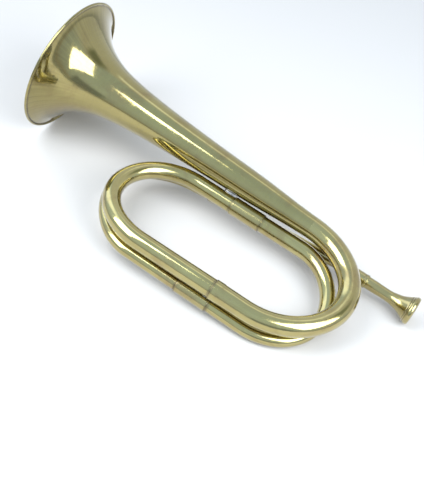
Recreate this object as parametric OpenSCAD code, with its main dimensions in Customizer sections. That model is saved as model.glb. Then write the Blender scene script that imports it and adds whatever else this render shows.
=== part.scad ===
// Conical two-turn bugle, lying on its back: bell mouth towards -X,
// mouthpiece towards +X, loop towards -Y, resting plane at z = 0.
// Lengths are in millimetres. The instrument is laid out along its bell axis
// (u, v, w) and is then tipped onto the surface by lay().

/* [Bell] */
// Outer diameter of the bell mouth over the rolled rim
mouth_d = 127; // [125:0.5:129]
// Length of the bell from the mouth to the start of the bell bow
bell_len = 263.2; // [262:0.2:265]
// Outer radius of the bell where it meets the bell bow
bell_end_r = 9.9; // [9.5:0.1:10.2]
// Sheet thickness of the bell and tubes
wall = 0.6; // [0.5:0.05:0.7]
// Radius of the rolled rim bead
bead_r = 1.15; // [1:0.05:1.3]
// Radius of the wire inside the rolled rim
wire_r = 0.56; // [0.4:0.02:0.6]

/* [Tubes] */
// Outer radius of the bell bow at its lower end
bell_bow_low_r = 8.6; // [8.4:0.1:8.7]
// Outer radius at the left end of the front lower leg
front_leg_r = 8.35; // [8.2:0.05:8.4]
// Outer radius at the left end of the upper inner tube
upper_left_r = 7.52; // [7.4:0.02:7.6]
// Outer radius at the right end of the upper inner tube
upper_right_r = 7.36; // [7.2:0.02:7.4]
// Outer radius of the rear lower leg
rear_leg_r = 5.72; // [5.5:0.02:5.8]
// Outer radius at the start of the leadpipe
lead_left_r = 5.29; // [5.2:0.01:5.4]
// Outer radius of the leadpipe at the receiver
lead_right_r = 5.19; // [5.1:0.01:5.2]

/* [Sleeves] */
// Length of the sleeve on the upper inner tube
sleeve_len = 30; // [26:1:32]
// Length of the sleeve on the rear lower leg
rear_sleeve_len = 30.5; // [28:0.5:31]
// Length of the ferrule on the leadpipe
ferrule_len = 10; // [8:0.5:12]
// Wall of the sleeves
sleeve_wall = 0.65; // [0.5:0.05:0.65]
// Overlap of the bell bow's socket over the front lower leg
socket_len = 6.5; // [5:0.5:7]

/* [Receiver and mouthpiece] */
// Outer radius of the mouthpiece receiver
receiver_r = 6.05; // [6:0.05:6.3]
// Depth of the mouthpiece shank inside the receiver
shank_depth = 20; // [16:1:21]
// Bore radius of the receiver at its mouth
receiver_bore_r = 5.4; // [5.3:0.02:5.45]
// Radial clearance between shank and receiver
shank_gap = 0.03; // [0.02:0.01:0.06]
// Outer diameter of the mouthpiece rim
rim_d = 26.4; // [25.5:0.1:27]
// Throat radius of the mouthpiece
throat_r = 1.9; // [1.7:0.1:2.2]

/* [Hidden] */
$fn = 96;
sides = 28;
brass = [0.80, 0.68, 0.32];
nickel = [0.62, 0.62, 0.60];

// Corner points of the tube run, bell axis along u
bell_end   = [bell_len, 0, 0];
front_right = [bell_len, -105.9, 0];
front_left = [160.4, -108.4, -2];
upper_left = [160.4, -18.5, -14.2];
upper_right = [266, -15.9, -12.9];
rear_right = [266, -111.7, -15.9];
rear_left  = [154, -114.4, -15.9];
lead_left  = [154, -12.5, -29.1];
knee       = [296.7, -2.8, -18.2];
rim_centre = [372.2, -4.1, -13.1];

function unit(v) = v / norm(v);
function lerp(a, b, t) = a + (b - a) * t;
function at_u(a, b, u) = lerp(a, b, (u - a[0]) / (b[0] - a[0]));

// Directions of the straight runs, each pointing to +u
dir_front = unit(front_right - front_left);
dir_upper = unit(upper_right - upper_left);
dir_rear  = unit(rear_right - rear_left);
dir_lead  = unit(knee - lead_left);
dir_mouth = unit(rim_centre - knee);

// Point of a bow between p0 and p1 that starts along d0 and ends against d1
function bow_pt(p0, p1, d0, d1, el, sk, t) =
    (p0 + p1) / 2 - cos(t) * (p1 - p0) / 2
    + sin(t) * (1 + sk * cos(t)) * el * norm(p1 - p0) / 2 * lerp(d0, d1, (1 - cos(t)) / 2);
steps = 22;
function bow(p0, p1, d0, d1, el, sk) =
    [for (i = [0 : steps]) bow_pt(p0, p1, d0, d1, el, sk, 180 * i / steps)];
function ramp(r0, r1) = [for (i = [0 : steps]) lerp(r0, r1, i / steps)];

// Joint positions along the straight runs
f_front = at_u(front_left, front_right, 231.8);
f_rear  = at_u(rear_left, rear_right, 219.2);
f_upper = at_u(upper_left, upper_right, 210.7);
f_lead  = at_u(lead_left, knee, 176);
r_front = front_leg_r + 0.02;
r_socket = r_front + 0.1 + wall;
r_upper = lerp(upper_left_r, upper_right_r, (210.7 - 160.4) / 105.6);
r_lead  = lead_left_r - 0.02;
butt = 0.01;

// Hollow tube through the points of path with outer radii rad; plane = normal of its bow
function tangent(p, i, first) = i == 0 && first != undef ? first : unit(p[min(i + 1, len(p) - 1)] - p[max(i - 1, 0)]);
function ring(p, i, r, plane, first) = let (t = tangent(p, i, first), a = unit(cross(t, plane)), b = cross(t, a))
    [for (j = [0 : sides - 1]) p[i] + r * (cos(360 * j / sides) * a + sin(360 * j / sides) * b)];
module tube(path, rad, plane, first = undef) {
    n = len(path);
    pts = concat([for (i = [0 : n - 1]) each ring(path, i, rad[i], plane, first)],
                 [for (i = [0 : n - 1]) each ring(path, i, rad[i] - wall, plane, first)]);
    o = n * sides;
    faces = concat(
        [for (i = [0 : n - 2], j = [0 : sides - 1]) let (k = (j + 1) % sides) [i * sides + j, (i + 1) * sides + k, i * sides + k]],
        [for (i = [0 : n - 2], j = [0 : sides - 1]) let (k = (j + 1) % sides) [i * sides + j, (i + 1) * sides + j, (i + 1) * sides + k]],
        [for (i = [0 : n - 2], j = [0 : sides - 1]) let (k = (j + 1) % sides) [o + i * sides + j, o + i * sides + k, o + (i + 1) * sides + k]],
        [for (i = [0 : n - 2], j = [0 : sides - 1]) let (k = (j + 1) % sides) [o + i * sides + j, o + (i + 1) * sides + k, o + (i + 1) * sides + j]],
        [for (j = [0 : sides - 1]) let (k = (j + 1) % sides) [j, o + k, o + j]],
        [for (j = [0 : sides - 1]) let (k = (j + 1) % sides) [j, k, o + k]],
        [for (j = [0 : sides - 1]) let (k = (j + 1) % sides, e = (n - 1) * sides) [e + j, o + e + j, o + e + k]],
        [for (j = [0 : sides - 1]) let (k = (j + 1) % sides, e = (n - 1) * sides) [e + j, o + e + k, e + k]]);
    polyhedron(points = pts, faces = faces, convexity = 8);
}

// Tip the instrument from its bell axis onto the resting plane
module lay() { translate([-182.802, 26.826, 63.303]) rotate([7.337, 5.654, 0]) children(); }
// Turn the z axis of the children along d, at point p
module along(p, d) { translate(p) rotate([0, acos(d[2] / norm(d)), atan2(d[1], d[0])]) children(); }

// Outer profile of the bell, [distance from mouth, radius]
bell_stations = [[1.3, mouth_d / 2 - 1.7], [3.6, 56.1], [9, 49], [18, 39.2], [31.4, 30.5], [50.4, 23.9],
                 [78.4, 19.9], [112, 17.2], [157, 14.9], [207, 13.1], [bell_len, bell_end_r]];
function slope(s, i) = (s[i + 1][1] - s[i][1]) / (s[i + 1][0] - s[i][0]);
function knot(s, i) = i == 0 ? slope(s, 0) * 1.15 : i == len(s) - 1 ? slope(s, i - 1)
    : 2 / (1 / slope(s, i - 1) + 1 / slope(s, i));
function herm(s, i, t) = let (h = s[i + 1][0] - s[i][0])
    [lerp(s[i][0], s[i + 1][0], t),
     (2 * t * t * t - 3 * t * t + 1) * s[i][1] + (t * t * t - 2 * t * t + t) * h * knot(s, i)
     + (3 * t * t - 2 * t * t * t) * s[i + 1][1] + (t * t * t - t * t) * h * knot(s, i + 1)];
bell_out = [for (i = [0 : len(bell_stations) - 2], k = [0 : 3]) herm(bell_stations, i, k / 4)];
bell_curve = concat(bell_out, [[bell_len, bell_end_r]]);
function bell_n(i) = let (a = bell_curve[max(i - 1, 0)], b = bell_curve[min(i + 1, len(bell_curve) - 1)], t = unit(b - a)) [-t[1], t[0]];
bell_in = [for (i = [len(bell_curve) - 1 : -1 : 0]) let (q = bell_curve[i] - wall * bell_n(i)) i == len(bell_curve) - 1 ? [bell_len, bell_end_r - wall] : q];

module bell() {
    color(brass) lay() rotate([0, 90, 0]) rotate_extrude()
        difference() {
            union() {
                polygon([for (p = concat(bell_curve, bell_in)) [p[1], p[0]]]);
                translate([mouth_d / 2 - bead_r, bead_r - 0.06]) circle(r = bead_r, $fn = 40);
            }
            translate([mouth_d / 2 - bead_r, bead_r - 0.06]) circle(r = wire_r + 0.02, $fn = 32);
            translate([mouth_d / 2 - 4, -2]) square([5, 2]);
        }
}

module rim_wire() {
    color(nickel) lay() rotate([0, 90, 0]) rotate_extrude()
        translate([mouth_d / 2 - bead_r, bead_r - 0.06]) circle(r = wire_r, $fn = 32);
}

module bell_bow() {
    // the end of the bow is opened out into a socket over the front leg
    path = concat(bow(bell_end, front_right, [1, 0, 0], dir_front, 1.153, 0.021),
                  [for (l = [socket_len + 5.5, socket_len + 3, socket_len + 0.3, 0]) f_front + dir_front * l]);
    rad = concat(ramp(bell_end_r, bell_bow_low_r), [8.66, 8.75, r_socket, r_socket]);
    color(brass) lay() translate([butt, 0, 0]) tube(path, rad, [0, 0, 1], [1, 0, 0]);
}

module front_left_bow() {
    path = concat([f_front + dir_front * socket_len], bow(front_left, upper_left, -dir_front, -dir_upper, 1.134, 0.031),
                  [f_upper - dir_upper * butt]);
    rad = concat([r_front], ramp(front_leg_r, upper_left_r), [r_upper]);
    color(brass) lay() tube(path, rad, [0, 0.135, 1]);
}

module right_inner_bow() {
    function narrow(t) = t < 0.3 ? lerp(upper_right_r, 6.83, t / 0.3) : t < 0.5 ? lerp(6.83, 6.15, (t - 0.3) / 0.2)
        : t < 0.7 ? lerp(6.15, rear_leg_r, (t - 0.5) / 0.2) : rear_leg_r;
    path = concat([f_upper + dir_upper * butt], bow(upper_right, rear_right, dir_upper, dir_rear, 1.028, -0.083),
                  [f_rear + dir_rear * butt]);
    rad = concat([r_upper], [for (i = [0 : steps]) narrow(i / steps)], [rear_leg_r]);
    color(brass) lay() tube(path, rad, [0, -0.04, 1]);
}

module rear_left_bow() {
    path = concat([f_rear - dir_rear * butt], bow(rear_left, lead_left, -dir_rear, -dir_lead, 1.003, -0.152),
                  [f_lead - dir_lead * butt]);
    rad = concat([rear_leg_r], ramp(rear_leg_r, lead_left_r), [r_lead]);
    color(brass) lay() tube(path, rad, [0, 0.13, 1]);
}

module leadpipe() {
    path = concat([f_lead + dir_lead * butt, knee - 4 * dir_lead],
                  [for (t = [0.25 : 0.25 : 0.75]) (1 - t) * (1 - t) * (knee - 4 * dir_lead) + 2 * t * (1 - t) * knee + t * t * (knee + 4 * dir_mouth)],
                  [knee + 4 * dir_mouth, knee + 9 * dir_mouth]);
    n = len(path);
    color(brass) lay() tube(path, [for (i = [0 : n - 1]) i == 0 ? r_lead : lead_right_r], [0, 0, 1]);
}

// Sleeve around a straight run, with its edges eased
module band(p, d, len, r, t) {
    lay() along(p - d * len / 2, d) difference() {
        union() {
            translate([0, 0, 0.4]) cylinder(h = len - 0.8, r = r + t);
            cylinder(h = 0.4, r1 = r + t - 0.3, r2 = r + t);
            translate([0, 0, len - 0.4]) cylinder(h = 0.4, r1 = r + t, r2 = r + t - 0.3);
        }
        translate([0, 0, -1]) cylinder(h = len + 2, r = r);
    }
}
module lower_rear_sleeve() { color(brass) band(f_rear, dir_rear, rear_sleeve_len, rear_leg_r + 0.05, sleeve_wall); }
module upper_sleeve() { color(brass) band(f_upper, dir_upper, sleeve_len, r_upper + 0.08, sleeve_wall); }
module leadpipe_ferrule() { color(brass) band(f_lead, dir_lead, ferrule_len, r_lead + 0.04, sleeve_wall); }

// Positions along the mouthpiece axis, measured from the knee
recv_start = 4.2;
recv_end = 31.2;
module mouthpiece_receiver() {
    l = recv_end - recv_start;
    color(brass) lay() along(knee + recv_start * dir_mouth, dir_mouth) rotate_extrude()
        polygon([[lead_right_r + 0.03, 0], [receiver_r - 0.3, 0], [receiver_r, 0.5], [receiver_r, l - 2.6],
                 [receiver_r + 0.2, l - 2.2], [receiver_r + 0.2, l - 0.4], [receiver_r - 0.05, l],
                 [receiver_bore_r, l], [receiver_bore_r - 0.53, l - 21.2], [lead_right_r + 0.03, l - 21.7]]);
}

module mouthpiece() {
    // outside of the mouthpiece, [radius, distance from the receiver mouth]
    sr = receiver_bore_r - shank_gap;
    color(brass) lay() along(knee + recv_end * dir_mouth, dir_mouth) rotate_extrude()
        polygon(concat(
            [[sr - 0.5 * shank_depth / 20, -shank_depth], [sr, 0], [sr + 0.12, 0.6], [5.45, 6.9], [5.15, 16], [5.12, 20], [5.35, 23.6],
             [5.75, 26], [6.6, 30], [7.45, 32.7], [8.55, 35.1], [9.6, 37], [10.6, 38.7], [11.4, 39.9], [11.3, 40.3], [11.65, 40.7],
             [12.4, 41.6]],
            [for (a = [-20 : 20 : 80]) [rim_d / 2 - 2.6 + 2.6 * cos(a), 44.2 + 2.5 * sin(a)]],
            [[9.9, 46.75]],
            [for (a = [75 : 20 : 155]) [9.9 + 1.5 * cos(a), 45.3 + 1.5 * sin(a)]],
            [[8.2, 44.2], [7.3, 41], [6, 37.5], [4.4, 33.5], [3, 29.5], [2.2, 26.5], [throat_r, 24.5], [throat_r, 21],
             [2.5, 8], [3.1, -4], [3.9, -shank_depth]]));
}

// Small solder joint bridging two neighbouring tubes
module joint(p, d, len, r) {
    lay() along(p - d * len / 2, d) union() {
        cylinder(h = len, r = r, $fn = 28);
        sphere(r = r, $fn = 28);
        translate([0, 0, len]) sphere(r = r, $fn = 28);
    }
}
// point between the surfaces of two round tubes at pa, pb
function between(pa, ra, pb, rb) = let (d = unit(pb - pa)) ((pa + d * ra) + (pb - d * rb)) / 2;
function gap(pa, ra, pb, rb) = norm(pb - pa) - ra - rb;
sb_a = [188, 0, 0];
sb_b = at_u(upper_left, upper_right, 188);
module solder_bell_tube() {
    color(nickel) joint(between(sb_a, 13.75, sb_b, 7.48), dir_upper, 8, gap(sb_a, 13.75, sb_b, 7.48) / 2 + 0.35);
}
sl_a = at_u(front_left, front_right, 229);
sl_b = at_u(rear_left, rear_right, 229);
r_rsleeve = rear_leg_r + 0.05 + sleeve_wall;
module solder_lower_legs() {
    color(nickel) joint(between(sl_a, r_front, sl_b, r_rsleeve), dir_rear, 3.5, gap(sl_a, r_front, sl_b, r_rsleeve) / 2 + 0.35);
}
sr_a = bow_pt(bell_end, front_right, [1, 0, 0], dir_front, 1.153, 0.021, 117);
sr_b = bow_pt(upper_right, rear_right, dir_upper, dir_rear, 1.028, -0.083, 104.5);
sr_d = unit(bow_pt(bell_end, front_right, [1, 0, 0], dir_front, 1.153, 0.021, 119) - bow_pt(bell_end, front_right, [1, 0, 0], dir_front, 1.153, 0.021, 115));
module solder_right_bows() {
    color(nickel) joint(between(sr_a, 8.99, sr_b, 5.98), sr_d, 3, gap(sr_a, 8.99, sr_b, 5.98) / 2 + 0.35);
}
sp_a = at_u(upper_left, upper_right, 240);
sp_b = at_u(lead_left, knee, 240);
module solder_leadpipe() {
    color(nickel) joint(between(sp_a, 7.4, sp_b, 5.2), dir_lead, 10, gap(sp_a, 7.4, sp_b, 5.2) / 2 + 0.35);
}

bell();
rim_wire();
bell_bow();
front_left_bow();
upper_sleeve();
right_inner_bow();
lower_rear_sleeve();
rear_left_bow();
leadpipe_ferrule();
leadpipe();
mouthpiece_receiver();
mouthpiece();
solder_bell_tube();
solder_lower_legs();
solder_right_bows();
solder_leadpipe();
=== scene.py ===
import math

import bmesh
import bpy
import numpy as np
from mathutils import Matrix, Vector


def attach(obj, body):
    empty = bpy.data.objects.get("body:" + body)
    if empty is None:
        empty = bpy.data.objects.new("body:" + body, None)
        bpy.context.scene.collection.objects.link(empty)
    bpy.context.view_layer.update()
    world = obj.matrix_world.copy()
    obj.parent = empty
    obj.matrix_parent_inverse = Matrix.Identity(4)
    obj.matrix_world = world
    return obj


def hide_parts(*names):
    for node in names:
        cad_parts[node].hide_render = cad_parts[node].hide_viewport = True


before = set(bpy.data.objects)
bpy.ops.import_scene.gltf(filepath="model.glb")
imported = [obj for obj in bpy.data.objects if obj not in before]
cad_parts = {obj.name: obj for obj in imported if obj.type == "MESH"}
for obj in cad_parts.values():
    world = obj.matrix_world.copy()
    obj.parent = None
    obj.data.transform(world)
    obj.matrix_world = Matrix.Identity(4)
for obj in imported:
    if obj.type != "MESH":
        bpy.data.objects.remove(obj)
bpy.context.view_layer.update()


scene = bpy.context.scene

# ---------------------------------------------------------------- frame of the instrument
# The bugle is laid out in millimetres along its bell axis (u, v, w), as in the part's source,
# and laid() turns that into the row frame in metres.
AX, AY = math.radians(7.337), math.radians(5.654)
RX = np.array([[1, 0, 0], [0, math.cos(AX), -math.sin(AX)], [0, math.sin(AX), math.cos(AX)]])
RY = np.array([[math.cos(AY), 0, math.sin(AY)], [0, 1, 0], [-math.sin(AY), 0, math.cos(AY)]])
LAY = RY @ RX
SHIFT = np.array([-182.802, 26.826, 63.303])


def laid(p):
    return (np.asarray(p, float) @ LAY.T + SHIFT) * 0.001


def unit(v):
    v = np.asarray(v, float)
    return v / np.linalg.norm(v)


def smooth(t):
    t = np.clip(t, 0.0, 1.0)
    return t * t * (3 - 2 * t)


BELL_LEN = 263.2
P = {
    "bell_end": np.array([BELL_LEN, 0, 0.0]),
    "front_right": np.array([BELL_LEN, -105.9, 0.0]),
    "front_left": np.array([160.4, -108.4, -2.0]),
    "upper_left": np.array([160.4, -18.5, -14.2]),
    "upper_right": np.array([266, -15.9, -12.9]),
    "rear_right": np.array([266, -111.7, -15.9]),
    "rear_left": np.array([154, -114.4, -15.9]),
    "lead_left": np.array([154, -12.5, -29.1]),
    "knee": np.array([296.7, -2.8, -18.2]),
    "rim_centre": np.array([372.2, -4.1, -13.1]),
}
D_FRONT = unit(P["front_right"] - P["front_left"])
D_UPPER = unit(P["upper_right"] - P["upper_left"])
D_REAR = unit(P["rear_right"] - P["rear_left"])
D_LEAD = unit(P["knee"] - P["lead_left"])
D_MOUTH = unit(P["rim_centre"] - P["knee"])


def at_u(a, b, u):
    return P[a] + (P[b] - P[a]) * (u - P[a][0]) / (P[b][0] - P[a][0])


def bow(p0, p1, d0, d1, el, sk, n):
    t = np.linspace(0, math.pi, n + 1)[:, None]
    return ((p0 + p1) / 2 - np.cos(t) * (p1 - p0) / 2
            + np.sin(t) * (1 + sk * np.cos(t)) * el * np.linalg.norm(p1 - p0) / 2
            * (d0 + (d1 - d0) * (1 - np.cos(t)) / 2))


def run(a, b, n):
    t = np.linspace(0, 1, n + 1)[:, None]
    return a + (b - a) * t


# ---------------------------------------------------------------- mesh building
def make_object(name, verts, faces, attrs=None):
    mesh = bpy.data.meshes.new(name)
    mesh.from_pydata([tuple(v) for v in verts], [], faces)
    mesh.validate()
    bm = bmesh.new()
    bm.from_mesh(mesh)
    bmesh.ops.recalc_face_normals(bm, faces=bm.faces)
    bm.to_mesh(mesh)
    bm.free()
    for poly in mesh.polygons:
        poly.use_smooth = True
    for key, values in (attrs or {}).items():
        values = np.asarray(values, np.float32)
        if values.ndim == 2:
            a = mesh.attributes.new(key, "FLOAT_VECTOR", "POINT")
            a.data.foreach_set("vector", values.ravel())
        else:
            a = mesh.attributes.new(key, "FLOAT", "POINT")
            a.data.foreach_set("value", values)
    mesh.update()
    obj = bpy.data.objects.new(name, mesh)
    scene.collection.objects.link(obj)
    return obj


def grid_faces(n, m, base=0, wrap=True, flip=False, close=False):
    """Quads over n rings of m points; wrap joins each ring's ends, close joins the last ring to the first."""
    out = []
    for i in range(n if close else n - 1):
        for j in range(m if wrap else m - 1):
            a, b = base + i * m + j, base + i * m + (j + 1) % m
            c, d = base + ((i + 1) % n) * m + (j + 1) % m, base + ((i + 1) % n) * m + j
            out.append((a, d, c, b) if flip else (a, b, c, d))
    return out


def transported(path):
    """Tangent, normal and binormal along a path, without twist."""
    p = np.asarray(path, float)
    t = np.zeros_like(p)
    t[1:-1] = p[2:] - p[:-2]
    t[0], t[-1] = p[1] - p[0], p[-1] - p[-2]
    t /= np.linalg.norm(t, axis=1)[:, None]
    a = np.zeros_like(p)
    first = np.cross(t[0], [0, 0, 1.0])
    a[0] = unit(first)
    for i in range(1, len(p)):
        v = a[i - 1] - t[i] * np.dot(a[i - 1], t[i])
        a[i] = unit(v)
    return t, a, np.cross(t, a)


def ripple(s, theta, seed, size):
    """Slight unevenness of a hand-bent tube, in mm."""
    k = [0.071, 0.113, 0.157, 0.22]
    out = 0.0
    for i, f in enumerate(k):
        out = out + math.cos(seed * 1.7 + i * 2.3) * np.sin(f * 2 * math.pi * s / 3.2 + seed + i * 1.9) \
            * np.cos((1 + i % 3) * theta + seed * 0.7 + i)
    return size * out / len(k)


def tube(name, path, rad, wall=0.6, sides=72, wear=None, seed=1.0, uneven=0.0, lip0=0.16):
    """Closed thin-walled tube along path (mm) with outer radii rad, its ends rounded over."""
    path, rad = np.asarray(path, float), np.asarray(rad, float)
    t, a, b = transported(path)
    seg = np.linalg.norm(np.diff(path, axis=0), axis=1)
    s = np.concatenate([[0], np.cumsum(seg)])
    th = np.linspace(0, 2 * math.pi, sides, endpoint=False)
    n = len(path)
    verts, flow, worn = [], [], []
    wear = np.zeros(n) if wear is None else np.asarray(wear, float)
    # outer wall with a small round at each end, then the inner wall back
    rows = [(i, rad[i], 0.0) for i in range(n)]
    lip = 0.16
    rows = [(0, rad[0] - lip0, 0.0), (0, rad[0] - lip0 * 0.3, lip0 * 0.3), (0, rad[0], lip0), (0, rad[0], lip0 * 2.2)] + rows[1:-1] + \
           [(n - 1, rad[-1], -lip * 2.2), (n - 1, rad[-1], -lip), (n - 1, rad[-1] - lip * 0.3, -lip * 0.3), (n - 1, rad[-1] - lip, 0.0)]
    inner = [(n - 1, rad[-1] - wall, 0.0)] + [(i, rad[i] - wall, 0.0) for i in range(n - 2, 0, -1)] + [(0, rad[0] - wall, 0.0)]
    outer_count = len(rows)
    for k, (i, r, off) in enumerate(rows + inner):
        bump = ripple(s[i], th, seed, uneven) * smooth(s[i] / 12.0) if 0 < i < n - 1 and k < outer_count else 0.0
        rr = (r + bump)
        ring = path[i] + t[i] * off + (np.cos(th) * rr)[:, None] * a[i] + (np.sin(th) * rr)[:, None] * b[i]
        verts.append(ring)
        flow.append(np.stack([np.full(sides, s[i] + off), rad[i] * np.cos(th), rad[i] * np.sin(th)], 1))
        worn.append(np.full(sides, wear[i]))
    rings = len(verts)
    faces = grid_faces(rings, sides, flip=True, close=True)
    return make_object(name, laid(np.concatenate(verts)), faces,
                       {"flow": np.concatenate(flow), "wear": np.concatenate(worn)})


def lathe(name, base, axis, profile, sides=96, wear=None, close=True):
    """Turns a closed profile of (distance along the axis, radius), in mm, about an axis through base."""
    profile = np.asarray(profile, float)
    axis = unit(axis)
    a = unit(np.cross(axis, [0, 0, 1.0]))
    b = np.cross(axis, a)
    th = np.linspace(0, 2 * math.pi, sides, endpoint=False)
    wear = np.zeros(len(profile)) if wear is None else np.asarray(wear, float)
    verts, flow, worn = [], [], []
    for (x, r), w in zip(profile, wear):
        verts.append(np.asarray(base, float) + axis * x + (np.cos(th) * r)[:, None] * a + (np.sin(th) * r)[:, None] * b)
        flow.append(np.stack([np.full(sides, x), r * np.cos(th), r * np.sin(th)], 1))
        worn.append(np.full(sides, w))
    faces = grid_faces(len(profile), sides, flip=True, close=close)
    return make_object(name, laid(np.concatenate(verts)), faces,
                       {"flow": np.concatenate(flow), "wear": np.concatenate(worn)})


def arc(cx, cy, r, a0, a1, n):
    t = np.radians(np.linspace(a0, a1, n + 1))
    return [(cx + r * math.cos(v), cy + r * math.sin(v)) for v in t]


def bezier(p0, p1, p2, p3, n):
    t = np.linspace(0, 1, n + 1)[:, None]
    p0, p1, p2, p3 = (np.asarray(p, float) for p in (p0, p1, p2, p3))
    return ((1 - t) ** 3 * p0 + 3 * (1 - t) ** 2 * t * p1 + 3 * (1 - t) * t * t * p2 + t ** 3 * p3).tolist()


def spline(points, per=8):
    """Monotone cubic through (x, y) points with rising x."""
    p = np.asarray(points, float)
    h = np.diff(p[:, 0])
    d = np.diff(p[:, 1]) / h
    m = np.zeros(len(p))
    for i in range(1, len(p) - 1):
        m[i] = 0 if d[i - 1] * d[i] <= 0 else (h[i - 1] + h[i]) / ((2 * h[i] + h[i - 1]) / 3 / d[i - 1] + (h[i] + 2 * h[i - 1]) / 3 / d[i])
    m[0], m[-1] = d[0], d[-1]
    out = []
    for i in range(len(h)):
        for k in range(per):
            t = k / per
            out.append((p[i, 0] + h[i] * t,
                        (2 * t ** 3 - 3 * t ** 2 + 1) * p[i, 1] + (t ** 3 - 2 * t ** 2 + t) * h[i] * m[i]
                        + (3 * t ** 2 - 2 * t ** 3) * p[i + 1, 1] + (t ** 3 - t ** 2) * h[i] * m[i + 1]))
    out.append((p[-1, 0], p[-1, 1]))
    return out


# ---------------------------------------------------------------- bell
STATIONS = [(1.3, 61.8), (3.6, 56.1), (9, 49), (18, 39.2), (31.4, 30.5), (50.4, 23.9), (78.4, 19.9),
            (112, 17.2), (157, 14.9), (207, 13.1), (BELL_LEN, 9.9)]


def bell_outside(n=240):
    s = np.asarray(STATIONS)
    slope = np.diff(s[:, 1]) / np.diff(s[:, 0])
    knot = [slope[0] * 1.15] + [2 / (1 / slope[i - 1] + 1 / slope[i]) for i in range(1, len(s) - 1)] + [-0.0072]
    pts = []
    for i in range(len(s) - 1):
        h = s[i + 1, 0] - s[i, 0]
        for t in np.linspace(0, 1, 40, endpoint=False):
            pts.append((s[i, 0] + h * t,
                        (2 * t ** 3 - 3 * t ** 2 + 1) * s[i, 1] + (t ** 3 - 2 * t ** 2 + t) * h * knot[i]
                        + (3 * t ** 2 - 2 * t ** 3) * s[i + 1, 1] + (t ** 3 - t ** 2) * h * knot[i + 1]))
    pts.append(tuple(s[-1]))
    pts = np.asarray(pts)
    # even steps in a measure that is fine at the flare, then a light smoothing so that the curve has no knots
    length = np.concatenate([[0], np.cumsum(np.linalg.norm(np.diff(pts, axis=0), axis=1))])
    warp = length ** 0.8
    grid = np.linspace(0, warp[-1], n)
    x, r = np.interp(grid, warp, pts[:, 0]), np.interp(grid, warp, pts[:, 1])
    for _ in range(60):
        x[2:-2] = x[2:-2] + 0.25 * (x[1:-3] + x[3:-1] - 2 * x[2:-2])
        r[2:-2] = r[2:-2] + 0.25 * (r[1:-3] + r[3:-1] - 2 * r[2:-2])
    return np.stack([x, r], 1)


def bell_piece():
    wall, bead = 0.6, 1.15
    cu, cr = bead - 0.06, 63.5 - bead
    out = bell_outside()
    t = np.gradient(out, axis=0)
    t /= np.linalg.norm(t, axis=1)[:, None]
    inn = out + wall * np.stack([t[:, 1], -t[:, 0]], 1)   # towards the axis and the mouth
    keep_out = out[(np.hypot(out[:, 0] - cu, out[:, 1] - cr) > bead + 0.02)]
    keep_in = inn[(inn[:, 1] < 59.6)]
    meet = math.degrees(math.atan2(61.28 - cr, 1.52 - cu))
    profile = [tuple(q) for q in keep_out[::-1]]                 # tail to rim, outside
    profile.insert(1, (profile[0][0] - 0.012, profile[0][1]))    # holds the tail's end square
    ends = len(profile)
    profile += arc(cu, cr, bead, meet, 163, 30)                 # round the bead, back to front
    profile += [(0.0, cr + 0.1), (0.0, cr - 0.15)]
    start = keep_in[0]
    heading = unit(keep_in[0] - keep_in[3])
    profile += bezier((0.0, cr - 0.3), (0.02, cr - 1.0), tuple(start + heading * 1.1), tuple(start), 12)[:-1]
    profile += [tuple(q) for q in keep_in]
    profile = np.asarray(profile)
    wear = np.zeros(len(profile))
    wear[ends - 3:ends + 6] = [0.25, 0.55, 0.9, 1.0, 0.9, 0.6, 0.35, 0.15, 0.05]
    return lathe("bell_flare", (0, 0, 0), (1, 0, 0), profile, sides=192, wear=wear)


pieces = {}
pieces["bell"] = bell_piece()

# ---------------------------------------------------------------- tubes
f_front, f_rear = at_u("front_left", "front_right", 231.8), at_u("rear_left", "rear_right", 219.2)
f_upper, f_lead = at_u("upper_left", "upper_right", 210.7), at_u("lead_left", "knee", 176)
R_FRONT, R_SOCKET, R_REAR, R_UPPER, R_LEAD = 8.37, 9.07, 5.72, 7.444, 5.27
N = 132


def near(path, point, reach):
    """1 at the point and 0 a few mm away, along a path."""
    return np.clip(1 - np.linalg.norm(path - point, axis=1) / reach, 0, 1)


# bell bow with the socket at its lower end
b = bow(P["bell_end"], P["front_right"], np.array([1.0, 0, 0]), D_FRONT, 1.153, 0.021, N)
b[0], b[1] = P["bell_end"] + [0.01, 0, 0], P["bell_end"] + [b[1][0] - P["bell_end"][0], b[1][1], 0]
leg_u = np.array([258, 252, 247, 244.5, 242.5, 241, 240, 239.2, 238.5, 237.6, 236, 234, 232.6, 231.8])
leg = np.array([at_u("front_left", "front_right", u) for u in leg_u])
leg_r = np.interp(leg_u, [231.8, 238.1, 239.3, 241, 244, 258, BELL_LEN], [R_SOCKET, R_SOCKET, 8.95, 8.78, 8.7, 8.62, 8.6])
path = np.concatenate([b, leg])
rad = np.concatenate([9.9 + (8.6 - 9.9) * np.linspace(0, 1, N + 1), leg_r])
w = near(path, path[-1], 1.4)
pieces["bell_bow"] = tube("bell_bow_tube", path, rad, wear=w, seed=1.3, uneven=0.05, lip0=0.012)

# front left bow: front leg, bow, upper inner tube
b = bow(P["front_left"], P["upper_left"], -D_FRONT, -D_UPPER, 1.134, 0.031, N)
pre = run(f_front + D_FRONT * 6.5, P["front_left"], 44)[:-1]
post = run(P["upper_left"], f_upper - D_UPPER * 0.01, 28)[1:]
path = np.concatenate([pre, b, post])
rad = np.concatenate([np.linspace(R_FRONT, 8.35, len(pre), endpoint=False), 8.35 + (7.52 - 8.35) * np.linspace(0, 1, N + 1),
                      np.linspace(7.52, R_UPPER, len(post) + 1)[1:]])
u_sl = at_u("upper_left", "upper_right", 195.4)
w = np.maximum(near(path, f_front, 2.2), near(path, u_sl, 2.0))
pieces["front_left_bow"] = tube("front_left_tube", path, rad, wear=w, seed=2.1, uneven=0.05)

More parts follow.
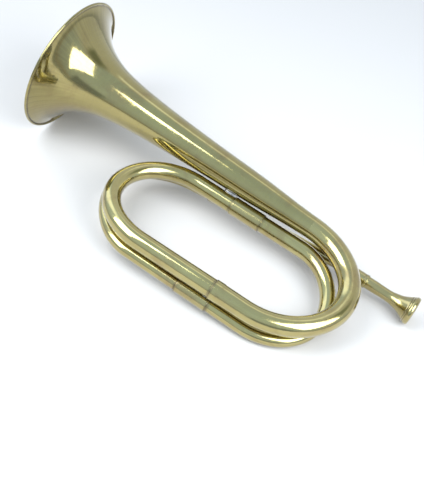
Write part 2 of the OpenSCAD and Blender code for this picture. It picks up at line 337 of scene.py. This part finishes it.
# inner right bow: upper inner tube, bow, rear leg
b = bow(P["upper_right"], P["rear_right"], D_UPPER, D_REAR, 1.028, -0.083, N)
pre = run(f_upper + D_UPPER * 0.01, P["upper_right"], 30)[:-1]
post = run(P["rear_right"], f_rear + D_REAR * 0.01, 26)[1:]
path = np.concatenate([pre, b, post])
tt = np.linspace(0, 1, N + 1)
taper = np.interp(tt, [0, 0.3, 0.5, 0.7, 1], [7.36, 6.83, 6.15, 5.72, 5.72])
k = np.hanning(23)
k /= k.sum()
taper = np.convolve(np.pad(taper, 11, mode="edge"), k, mode="valid")
rad = np.concatenate([np.linspace(R_UPPER, 7.36, len(pre), endpoint=False), taper, np.full(len(post), R_REAR)])
u_sr, r_sr = at_u("upper_left", "upper_right", 226.0), at_u("rear_left", "rear_right", 234.7)
w = np.maximum(near(path, u_sr, 2.0), near(path, r_sr, 2.0))
pieces["right_inner_bow"] = tube("right_inner_tube", path, rad, wear=w, seed=3.4, uneven=0.045)

# rear left bow: rear leg, bow, start of the leadpipe run
b = bow(P["rear_left"], P["lead_left"], -D_REAR, -D_LEAD, 1.003, -0.152, N)
pre = run(f_rear - D_REAR * 0.01, P["rear_left"], 34)[:-1]
post = run(P["lead_left"], f_lead - D_LEAD * 0.01, 12)[1:]
path = np.concatenate([pre, b, post])
rad = np.concatenate([np.full(len(pre), R_REAR), R_REAR + (5.29 - R_REAR) * np.linspace(0, 1, N + 1),
                      np.linspace(5.29, R_LEAD, len(post) + 1)[1:]])
r_sl, l_sl = at_u("rear_left", "rear_right", 203.7), at_u("lead_left", "knee", 170.8)
w = np.maximum(near(path, r_sl, 2.0), near(path, l_sl, 2.0))
pieces["rear_left_bow"] = tube("rear_left_tube", path, rad, wear=w, seed=4.7, uneven=0.04)

# leadpipe
k0, k1 = P["knee"] - 4 * D_LEAD, P["knee"] + 4 * D_MOUTH
tt = np.linspace(0, 1, 15)[:, None]
bend = (1 - tt) ** 2 * k0 + 2 * tt * (1 - tt) * P["knee"] + tt ** 2 * k1
path = np.concatenate([run(f_lead + D_LEAD * 0.01, k0, 50)[:-1], bend, run(k1, P["knee"] + 9 * D_MOUTH, 5)[1:]])
rad = np.interp(np.arange(len(path)), [0, 8, len(path) - 1], [R_LEAD, 5.19, 5.19])
l_sr = at_u("lead_left", "knee", 181.2)
w = np.maximum(near(path, l_sr, 2.0), near(path, P["knee"] + 4.0 * D_MOUTH, 2.0))
pieces["leadpipe"] = tube("leadpipe_tube", path, rad, wear=w, seed=5.9, uneven=0.025)


# ---------------------------------------------------------------- sleeves
def sleeve(name, centre, d, length, r_in, t, seed):
    """Sleeve with eased outer edges, darker at each end."""
    h, R, e = length / 2, r_in + t, 0.28
    outer = arc(-h + e, R - e, e, 180, 90, 6) + [(x, R) for x in np.linspace(-h + e, h - e, 24)[1:-1]] + arc(h - e, R - e, e, 90, 0, 6)
    inner = [(h, r_in + 0.12), (h + 0.0, r_in)] + [(x, r_in) for x in np.linspace(h - 0.5, -h + 0.5, 10)] + [(-h, r_in), (-h, r_in + 0.12)]
    profile = outer + inner
    wear = [max(0.0, 1 - (h - abs(x)) / 1.0) * 0.8 for x, r in profile]
    return lathe(name, centre, d, profile, sides=84, wear=wear)


pieces["upper_sleeve"] = sleeve("upper_tube_sleeve", f_upper, D_UPPER, 30, R_UPPER + 0.08, 0.65, 1)
pieces["lower_rear_sleeve"] = sleeve("rear_leg_sleeve", f_rear, D_REAR, 30.5, R_REAR + 0.05, 0.65, 2)
pieces["leadpipe_ferrule"] = sleeve("leadpipe_joint_sleeve", f_lead, D_LEAD, 10, R_LEAD + 0.04, 0.65, 3)

# ---------------------------------------------------------------- receiver and mouthpiece
RECV0, RECV1 = 4.2, 31.2
L = RECV1 - RECV0
profile = [(0.0, 5.22), (0.0, 5.62)] + arc(0.35, 5.7, 0.35, 180, 90, 5) + [(x, 6.05) for x in np.linspace(0.8, L - 3.0, 20)] \
    + bezier((L - 2.9, 6.05), (L - 2.6, 6.05), (L - 2.6, 6.25), (L - 2.1, 6.25), 6) + [(L - 1.4, 6.25)] \
    + arc(L - 0.42, 5.83, 0.42, 90, 0, 6) + [(L, 5.6), (L - 0.12, 5.42), (L - 0.4, 5.39)] \
    + [(x, 5.4 - 0.53 * (L - x) / 21.2) for x in np.linspace(L - 2, L - 21.2, 10)] + [(L - 21.7, 5.22), (2.0, 5.22)]
wear = [0.9 if x < 0.5 else (0.35 if 20 > x > 0.5 and r < 5.5 else max(0.0, 1 - abs(x - (L - 2.7)) / 0.7) * 0.7) for x, r in profile]
pieces["mouthpiece_receiver"] = lathe("receiver_sleeve", P["knee"] + RECV0 * D_MOUTH, D_MOUTH, profile, sides=84, wear=wear)

SR = 5.37
outside = [(-20, SR - 0.5), (0, SR)] + spline([(0.5, SR + 0.1), (6.9, 5.45), (16, 5.15), (20, 5.12), (23.6, 5.35), (26, 5.75),
                                                (30, 6.6), (32.7, 7.45), (35.1, 8.55), (37, 9.6), (38.7, 10.6), (39.9, 11.4)], 6)
outside += [(40.15, 11.42), (40.32, 11.3), (40.5, 11.34)] + bezier((40.6, 11.5), (40.9, 11.9), (41.3, 12.15), (41.6, 12.4), 5)
rim = arc(44.2, 13.2 - 2.55, 2.55, 160, 90, 10)                       # swells to the widest line
rim = [(41.6 + (x - 41.8) * 1.0, r) for x, r in rim if x >= 41.9]
front = bezier((44.2, 13.2), (45.6, 13.2), (46.75, 12.4), (46.75, 11.2), 12)[1:] + bezier((46.75, 11.2), (46.75, 10.0), (46.3, 9.2), (45.4, 8.7), 10)[1:]
cup = spline([(24.5, 1.9), (26.5, 2.2), (29.5, 3.0), (33.5, 4.4), (37.5, 6.0), (41, 7.3), (44.2, 8.2)], 5)[::-1]
bore = [(21, 1.9), (8, 2.5), (-4, 3.1), (-20, 3.9)]
profile = outside + rim + front + cup + bore
wear = [0.8 if 39.9 < x < 40.75 and r > 11 else (0.5 if r < 5 and x < 38 else 0.0) for x, r in profile]
pieces["mouthpiece"] = lathe("cup_mouthpiece", P["knee"] + RECV1 * D_MOUTH, D_MOUTH, profile, sides=112, wear=wear)


# ---------------------------------------------------------------- solder joints
def fillet(name, a_of, b_of, s0, s1, wide, seed, steps=26):
    """Meniscus of solder in the gap between two round tubes. a_of(s) and b_of(s) give (centre, radius)."""
    verts, flow, worn = [], [], []
    rng = np.random.default_rng(seed)
    wob = np.convolve(rng.normal(size=steps + 7), np.ones(5) / 5, mode="valid")
    m = 9
    for i in range(steps + 1):
        f = i / steps
        s = s0 + (s1 - s0) * f
        (ca, ra), (cb, rb) = a_of(s), b_of(s)
        d = unit(a_of(s + 0.5)[0] - a_of(s - 0.5)[0])
        e = cb - ca
        e = unit(e - d * np.dot(e, d))
        g = np.cross(d, e)
        half = wide * max(0.06, (1 - abs(2 * f - 1) ** 2.6)) ** 0.5 * (1 + 0.10 * wob[i])
        ring = []
        ba, bb = half / ra, half * 0.92 / rb
        sink = 0.12
        for q in np.linspace(-1, 1, m):                              # on tube a
            ring.append(ca + (ra - sink * (1 - abs(q) ** 3 * 0.55)) * (math.cos(ba * q) * e + math.sin(ba * q) * g))
        pa = ring[-1]
        pb = cb + (rb - sink * 0.45) * (-math.cos(bb) * e + math.sin(bb) * g)
        mid = (ca + e * ra + cb - e * rb) / 2 + g * half * 0.42
        up = [tuple(x) for x in (bezier(pa, (pa + 2 * mid) / 3, (pb + 2 * mid) / 3, pb, 8)[1:-1])]
        ring += [np.array(x) for x in up]
        for q in np.linspace(1, -1, m):
            ring.append(cb + (rb - sink * (1 - abs(q) ** 3 * 0.55)) * (-math.cos(bb * q) * e + math.sin(bb * q) * g))
        pa2 = ca + (ra - sink * 0.45) * (math.cos(ba) * e - math.sin(ba) * g)
        pb2 = ring[-1]
        mid2 = (ca + e * ra + cb - e * rb) / 2 - g * half * 0.42
        ring += [np.array(x) for x in bezier(pb2, (pb2 + 2 * mid2) / 3, (pa2 + 2 * mid2) / 3, pa2, 8)[1:-1]]
        verts.append(np.asarray(ring))
        flow.append(np.asarray(ring))
        worn.append(np.full(len(ring), 0.5))
    m2 = len(verts[0])
    faces = grid_faces(len(verts), m2, flip=False)
    faces.append(tuple(range(m2 - 1, -1, -1))[::-1])
    faces.append(tuple((len(verts) - 1) * m2 + j for j in range(m2))[::-1])
    pts = np.concatenate(verts)
    obj = make_object(name, laid(pts), faces, {"flow": np.concatenate(flow), "wear": np.concatenate(worn)})
    return obj


def bell_at(s):
    prof = np.asarray(STATIONS)
    return np.array([s, 0, 0.0]), float(np.interp(s, prof[:, 0], prof[:, 1]))


def upper_at(s):
    return at_u("upper_left", "upper_right", s), 7.52 - 0.16 * (s - 160.4) / 105.6


pieces["solder_bell_tube"] = fillet("solder_bell_to_tube", bell_at, upper_at, 182.4, 194.6, 3.0, 11)
pieces["solder_lower_legs"] = fillet("solder_between_legs", lambda s: (at_u("front_left", "front_right", s), R_FRONT),
                                     lambda s: (at_u("rear_left", "rear_right", s), R_REAR + 0.7), 226.2, 231.5, 1.5, 12)
pieces["solder_leadpipe"] = fillet("solder_to_leadpipe", lambda s: (at_u("upper_left", "upper_right", s), 7.4),
                                   lambda s: (at_u("lead_left", "knee", s), 5.22), 234.5, 245.5, 1.5, 13)
BB = bow(P["bell_end"], P["front_right"], np.array([1.0, 0, 0]), D_FRONT, 1.153, 0.021, 720)
CB = bow(P["upper_right"], P["rear_right"], D_UPPER, D_REAR, 1.028, -0.083, 720)


def bows_at(which):
    def f(s):
        if which == 0:
            x = 117 * 4 + s * 4
            i = int(np.clip(round(x), 0, 720))
            return BB[i], 9.9 - 1.3 * i / 720
        p = BB[int(np.clip(round(117 * 4 + s * 4), 0, 720))]
        i = int(np.argmin(np.linalg.norm(CB - p, axis=1)))
        return CB[i], float(np.interp(i / 720, [0, 0.3, 0.5, 0.7, 1], [7.36, 6.83, 6.15, 5.72, 5.72]))
    return f


pieces["solder_right_bows"] = fillet("solder_between_bows", bows_at(0), bows_at(1), -3.0, 3.0, 1.5, 14, steps=16)


# ---------------------------------------------------------------- materials
def node(tree, kind, **kw):
    n = tree.nodes.new(kind)
    for k_, v_ in kw.items():
        setattr(n, k_, v_)
    return n


def noise(tree, vec, scale, detail=3.0, rough=0.5, distort=0.0):
    n = node(tree, "ShaderNodeTexNoise")
    n.inputs["Scale"].default_value = scale
    n.inputs["Detail"].default_value = detail
    n.inputs["Roughness"].default_value = rough
    n.inputs["Distortion"].default_value = distort
    tree.links.new(vec, n.inputs["Vector"])
    return n.outputs["Fac"]


def mapped(tree, vec, scale):
    n = node(tree, "ShaderNodeMapping")
    n.inputs["Scale"].default_value = scale
    tree.links.new(vec, n.inputs["Vector"])
    return n.outputs["Vector"]


def ranged(tree, fac, lo, hi, to_lo, to_hi):
    n = node(tree, "ShaderNodeMapRange")
    n.inputs["From Min"].default_value = lo
    n.inputs["From Max"].default_value = hi
    n.inputs["To Min"].default_value = to_lo
    n.inputs["To Max"].default_value = to_hi
    tree.links.new(fac, n.inputs["Value"])
    return n.outputs["Result"]


def maths(tree, op, a, b_):
    n = node(tree, "ShaderNodeMath", operation=op)
    for i, v in enumerate((a, b_)):
        if isinstance(v, (int, float)):
            n.inputs[i].default_value = v
        else:
            tree.links.new(v, n.inputs[i])
    return n.outputs[0]


def mixed(tree, fac, a, b_):
    n = node(tree, "ShaderNodeMix", data_type="RGBA")
    tree.links.new(fac, n.inputs[0])
    for i, v in ((6, a), (7, b_)):
        if isinstance(v, tuple):
            n.inputs[i].default_value = v
        else:
            tree.links.new(v, n.inputs[i])
    return n.outputs[2]


def brass(name, tone_a, tone_b, dirt, streak, rough=(0.05, 0.13), coat=1.0, radial=False):
    """Lacquered brass: two close tones, polishing marks that run along or round the piece, hazy patches, grime in the joints."""
    mat = bpy.data.materials.new(name)
    mat.use_nodes = True
    tree = mat.node_tree
    bsdf = tree.nodes["Principled BSDF"]
    bsdf.inputs["Metallic"].default_value = 1.0
    bsdf.inputs["Coat Weight"].default_value = coat
    bsdf.inputs["Coat Roughness"].default_value = 0.03
    bsdf.inputs["Coat IOR"].default_value = 1.5
    obj = node(tree, "ShaderNodeTexCoord").outputs["Object"]
    flow = node(tree, "ShaderNodeAttribute", attribute_name="flow").outputs["Vector"]
    worn = node(tree, "ShaderNodeAttribute", attribute_name="wear").outputs["Fac"]
    cloudy = noise(tree, obj, 26.0, 3.0, 0.55)
    haze = noise(tree, obj, 70.0, 4.0, 0.6, 0.4)
    marks = noise(tree, mapped(tree, flow, streak), 1.0, 4.0, 0.62)
    speck = noise(tree, obj, 1500.0, 2.0, 0.5)
    tone = mixed(tree, ranged(tree, cloudy, 0.35, 0.65, 0.0, 1.0), tone_a, tone_b)
    tone = mixed(tree, ranged(tree, marks, 0.45, 0.78, 0.0, 0.30), tone, (tone_a[0] * 0.72, tone_a[1] * 0.68, tone_a[2] * 0.6, 1))
    blotch = noise(tree, obj, 34.0, 4.0, 0.62, 0.6)
    stain = ranged(tree, blotch, 0.50, 0.70, 0.0, 0.75)
    tone = mixed(tree, stain, tone, (tone_a[0] * 0.80, tone_a[1] * 0.69, tone_a[2] * 0.72, 1))
    # the flare, from 21 mm radius outwards, is coloured darker in radial streaks
    if radial:
        flat = node(tree, "ShaderNodeVectorMath", operation="MULTIPLY")
        flat.inputs[1].default_value = (0.0, 1.0, 1.0)
        tree.links.new(flow, flat.inputs[0])
        away = node(tree, "ShaderNodeVectorMath", operation="LENGTH")
        tree.links.new(flat.outputs["Vector"], away.inputs[0])
        round_ = node(tree, "ShaderNodeVectorMath", operation="NORMALIZE")
        tree.links.new(flat.outputs["Vector"], round_.inputs[0])
        spokes = noise(tree, round_.outputs["Vector"], 16.0, 4.0, 0.68)
        flare = ranged(tree, away.outputs["Value"], 21.0, 50.0, 0.0, 1.0)
        tone = mixed(tree, maths(tree, "MULTIPLY", flare, ranged(tree, spokes, 0.40, 0.70, 0.1, 0.72)), tone,
                     (tone_a[0] * 0.56, tone_a[1] * 0.53, tone_a[2] * 0.46, 1))
    tone = mixed(tree, ranged(tree, speck, 0.70, 0.78, 0.0, 0.35), tone, (0.30, 0.22, 0.09, 1))
    grime = maths(tree, "MULTIPLY", worn, ranged(tree, haze, 0.3, 0.6, 0.55, 1.0))
    tone = mixed(tree, grime, tone, dirt)
    tree.links.new(tone, bsdf.inputs["Base Color"])
    r = maths(tree, "ADD", ranged(tree, marks, 0.3, 0.75, rough[0], rough[1]), ranged(tree, haze, 0.52, 0.75, 0.0, 0.07))
    r = maths(tree, "ADD", r, maths(tree, "MULTIPLY", stain, 0.10))
    r = maths(tree, "ADD", r, maths(tree, "MULTIPLY", grime, 0.3))
    tree.links.new(r, bsdf.inputs["Roughness"])
    bump = node(tree, "ShaderNodeBump")
    bump.inputs["Strength"].default_value = 0.16
    bump.inputs["Distance"].default_value = 0.00004
    tree.links.new(maths(tree, "ADD", marks, maths(tree, "MULTIPLY", speck, 0.25)), bump.inputs["Height"])
    dents = node(tree, "ShaderNodeBump")
    dents.inputs["Strength"].default_value = 0.9
    dents.inputs["Distance"].default_value = 0.00015
    tree.links.new(noise(tree, obj, 95.0, 2.0, 0.5, 0.3), dents.inputs["Height"])
    tree.links.new(dents.outputs["Normal"], bump.inputs["Normal"])
    tree.links.new(bump.outputs["Normal"], bsdf.inputs["Normal"])
    return mat


TONE_A, TONE_B = (0.35, 0.292, 0.098, 1), (0.395, 0.335, 0.120, 1)
DIRT = (0.075, 0.048, 0.02, 1)
tube_mat = brass("brass_tubing", (0.395, 0.33, 0.115, 1), (0.45, 0.385, 0.145, 1), DIRT, (0.05, 0.55, 0.55), rough=(0.08, 0.18))
bell_mat = brass("brass_spun_bell", TONE_A, TONE_B, DIRT, (2.2, 0.035, 0.035), radial=True)
turned_mat = brass("brass_turned", (0.36, 0.295, 0.105, 1), (0.40, 0.335, 0.13, 1), DIRT, (3.5, 0.05, 0.05), rough=(0.13, 0.25))


def solder_material():
    mat = bpy.data.materials.new("soft_solder")
    mat.use_nodes = True
    tree = mat.node_tree
    bsdf = tree.nodes["Principled BSDF"]
    bsdf.inputs["Metallic"].default_value = 1.0
    obj = node(tree, "ShaderNodeTexCoord").outputs["Object"]
    a = noise(tree, obj, 220.0, 4.0, 0.6)
    b_ = noise(tree, obj, 900.0, 3.0, 0.6)
    tone = mixed(tree, ranged(tree, a, 0.35, 0.65, 0, 1), (0.27, 0.265, 0.28, 1), (0.44, 0.43, 0.44, 1))
    tone = mixed(tree, ranged(tree, b_, 0.55, 0.75, 0, 0.5), tone, (0.20, 0.18, 0.15, 1))
    tree.links.new(tone, bsdf.inputs["Base Color"])
    tree.links.new(ranged(tree, b_, 0.3, 0.7, 0.28, 0.5), bsdf.inputs["Roughness"])
    bump = node(tree, "ShaderNodeBump")
    bump.inputs["Strength"].default_value = 0.4
    bump.inputs["Distance"].default_value = 0.0001
    tree.links.new(a, bump.inputs["Height"])
    tree.links.new(bump.outputs["Normal"], bsdf.inputs["Normal"])
    return mat


def wire_material():
    mat = bpy.data.materials.new("drawn_wire")
    mat.use_nodes = True
    tree = mat.node_tree
    bsdf = tree.nodes["Principled BSDF"]
    bsdf.inputs["Metallic"].default_value = 1.0
    obj = node(tree, "ShaderNodeTexCoord").outputs["Object"]
    a = noise(tree, obj, 300.0, 3.0, 0.6)
    tree.links.new(mixed(tree, ranged(tree, a, 0.3, 0.7, 0, 1), (0.50, 0.40, 0.18, 1), (0.62, 0.50, 0.24, 1)), bsdf.inputs["Base Color"])
    tree.links.new(ranged(tree, a, 0.3, 0.7, 0.25, 0.4), bsdf.inputs["Roughness"])
    return mat


solder_mat, wire_mat = solder_material(), wire_material()

for key, obj in pieces.items():
    body = "mouthpiece" if key == "mouthpiece" else "bugle_body"
    mat = tube_mat
    if key == "bell":
        mat = bell_mat
    elif key in ("upper_sleeve", "lower_rear_sleeve", "leadpipe_ferrule", "mouthpiece_receiver", "mouthpiece"):
        mat = turned_mat
    elif key.startswith("solder"):
        mat = solder_mat
    obj.data.materials.append(mat)
    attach(obj, body)
    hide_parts(key)

for name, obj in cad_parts.items():
    obj.data.materials.clear()
    obj.data.materials.append(wire_mat if name == "rim_wire" else solder_mat if name.startswith("solder") else tube_mat)

# ---------------------------------------------------------------- camera
CAM = np.array([341.13, -491.40, 638.05])
ROWS = np.array([[0.80999776, 0.55344302, 0.19391868],
                 [0.56044891, -0.6332192, -0.53378878],
                 [-0.17262864, 0.54104922, -0.82308267]])
right, up, back = LAY @ ROWS[0], -(LAY @ ROWS[1]), -(LAY @ ROWS[2])
cam_data = bpy.data.cameras.new("camera")
cam_data.lens = 69.457
cam_data.sensor_width = 36.0
cam_data.sensor_fit = "AUTO"
cam_data.clip_start, cam_data.clip_end = 0.01, 50
camera = bpy.data.objects.new("camera", cam_data)
scene.collection.objects.link(camera)
m = Matrix.Identity(4)
for i, col in enumerate((right, up, back)):
    for j in range(3):
        m[j][i] = col[j]
loc = laid(CAM)
for j in range(3):
    m[j][3] = loc[j]
camera.matrix_world = m
scene.camera = camera

# ---------------------------------------------------------------- floor and light
floor_mesh = bpy.data.meshes.new("floor")
S = 6.0
floor_mesh.from_pydata([(-S, -S, -0.0002), (S, -S, -0.0002), (S, S, -0.0002), (-S, S, -0.0002)], [], [(0, 1, 2, 3)])
floor = bpy.data.objects.new("floor", floor_mesh)
scene.collection.objects.link(floor)
floor_mat = bpy.data.materials.new("pale_floor")
floor_mat.use_nodes = True
fb = floor_mat.node_tree.nodes["Principled BSDF"]
fb.inputs["Base Color"].default_value = (0.60, 0.558, 0.503, 1)
fb.inputs["Roughness"].default_value = 0.9
floor.data.materials.append(floor_mat)

world = bpy.data.worlds.new("studio")
scene.world = world
world.use_nodes = True
wt = world.node_tree
ray = node(wt, "ShaderNodeTexCoord").outputs["Generated"]


def heading_of(az, el):
    a, e = math.radians(az), math.radians(el)
    return Vector((math.sin(a) * math.cos(e), -math.cos(a) * math.cos(e), math.sin(e)))


def dot(v):
    n = node(wt, "ShaderNodeVectorMath", operation="DOT_PRODUCT")
    n.inputs[1].default_value = tuple(v)
    wt.links.new(ray, n.inputs[0])
    return n.outputs["Value"]


def edge(value, at, soft):
    """1 below at, 0 above, over a band soft wide."""
    n = node(wt, "ShaderNodeMapRange", interpolation_type="SMOOTHSTEP")
    n.inputs["From Min"].default_value = at - soft
    n.inputs["From Max"].default_value = at + soft
    n.inputs["To Min"].default_value = 1.0
    n.inputs["To Max"].default_value = 0.0
    wt.links.new(value, n.inputs["Value"])
    return n.outputs["Result"]


def panel(az, el, wide, high, soft, turn=0.0, keystone=0.0):
    """Mask of a rectangular panel seen at (az, el), its half sizes in degrees."""
    c = heading_of(az, el)
    side = Vector((0, 0, 1)).cross(c).normalized()
    top = c.cross(side).normalized()
    q = math.radians(turn)
    side, top = side * math.cos(q) + top * math.sin(q), top * math.cos(q) - side * math.sin(q)
    depth = dot(c)
    x = maths(wt, "DIVIDE", dot(side), depth)
    y = maths(wt, "DIVIDE", dot(top), depth)
    if keystone:
        x = maths(wt, "MULTIPLY", x, maths(wt, "ADD", maths(wt, "MULTIPLY", y, -keystone), 1.0))
    m_ = maths(wt, "MULTIPLY", edge(maths(wt, "ABSOLUTE", x, 0), math.tan(math.radians(wide)), soft),
               edge(maths(wt, "ABSOLUTE", y, 0), math.tan(math.radians(high)), soft))
    return maths(wt, "MULTIPLY", m_, maths(wt, "GREATER_THAN", depth, 0.05))


def glow(colour, mask, tone):
    """colour towards tone by mask."""
    return mixed(wt, mask, colour, tone + (1,))


ramp_node = node(wt, "ShaderNodeValToRGB")
sep = node(wt, "ShaderNodeSeparateXYZ")
wt.links.new(ray, sep.inputs[0])
wt.links.new(maths(wt, "ADD", maths(wt, "MULTIPLY", sep.outputs[2], 0.5), 0.5), ramp_node.inputs[0])
els = [(-90, (0.5, 0.5, 0.5)), (0.6, (0.34, 0.35, 0.36)), (6, (0.40, 0.48, 0.60)), (28, (0.48, 0.60, 0.78)), (50, (0.46, 0.59, 0.76)), (75, (0.43, 0.55, 0.72)), (90, (0.43, 0.54, 0.70))]
cr = ramp_node.color_ramp
while len(cr.elements) < len(els):
    cr.elements.new(0.5)
for e_, (el_, col_) in zip(cr.elements, els):
    e_.position = math.sin(math.radians(el_)) * 0.5 + 0.5
    e_.color = col_ + (1,)
sky = ramp_node.outputs["Color"]
sky = glow(sky, panel(165, 30, 48, 40, 0.25), (0.52, 0.56, 0.62))          # far wall
sky = glow(sky, panel(-168, 58, 10, 5, 0.06), (0.95, 1.05, 1.2))           # its upper edge, lit
sky = glow(sky, panel(122, 50, 10, 14, 0.12), (0.20, 0.24, 0.22))          # dark panel beside the key
sky = glow(sky, panel(26, 8, 22, 9, 0.08), (0.22, 0.27, 0.34))             # dark low panel in front
sky = glow(sky, panel(-104, 40, 12, 22, 0.12), (1.3, 1.45, 1.7))           # dim side panel
wt.links.new(sky, wt.nodes["Background"].inputs["Color"])
wt.nodes["Background"].inputs["Strength"].default_value = 1.58



def softbox(name, seen_from, az, el, away, width, height, radiance, turn=0.0):
    """Rectangular soft light, placed by the direction in which a point of the bugle sees it."""
    data = bpy.data.lights.new(name, "AREA")
    data.shape, data.size, data.size_y = "RECTANGLE", width, height
    data.energy = radiance[1] * math.pi * width * height
    data.color = (radiance[0] / radiance[1], 1.0, radiance[2] / radiance[1])
    o = bpy.data.objects.new(name, data)
    c = heading_of(az, el)
    o.matrix_world = Matrix.Translation(Vector(seen_from) + c * away) @ (c.to_track_quat("Z", "Y").to_matrix() @ Matrix.Rotation(math.radians(turn), 3, "Z")).to_4x4()
    o.visible_camera = False
    scene.collection.objects.link(o)


softbox("key", (-0.15, 0.0, 0.08), 76, 36, 0.95, 0.62, 0.68, (5.8, 6.2, 6.8), turn=14)
softbox("fill", (-0.10, 0.02, 0.10), -34, 49, 0.76, 0.43, 0.66, (6.2, 6.6, 7.2))

scene.view_settings.view_transform = "Standard"
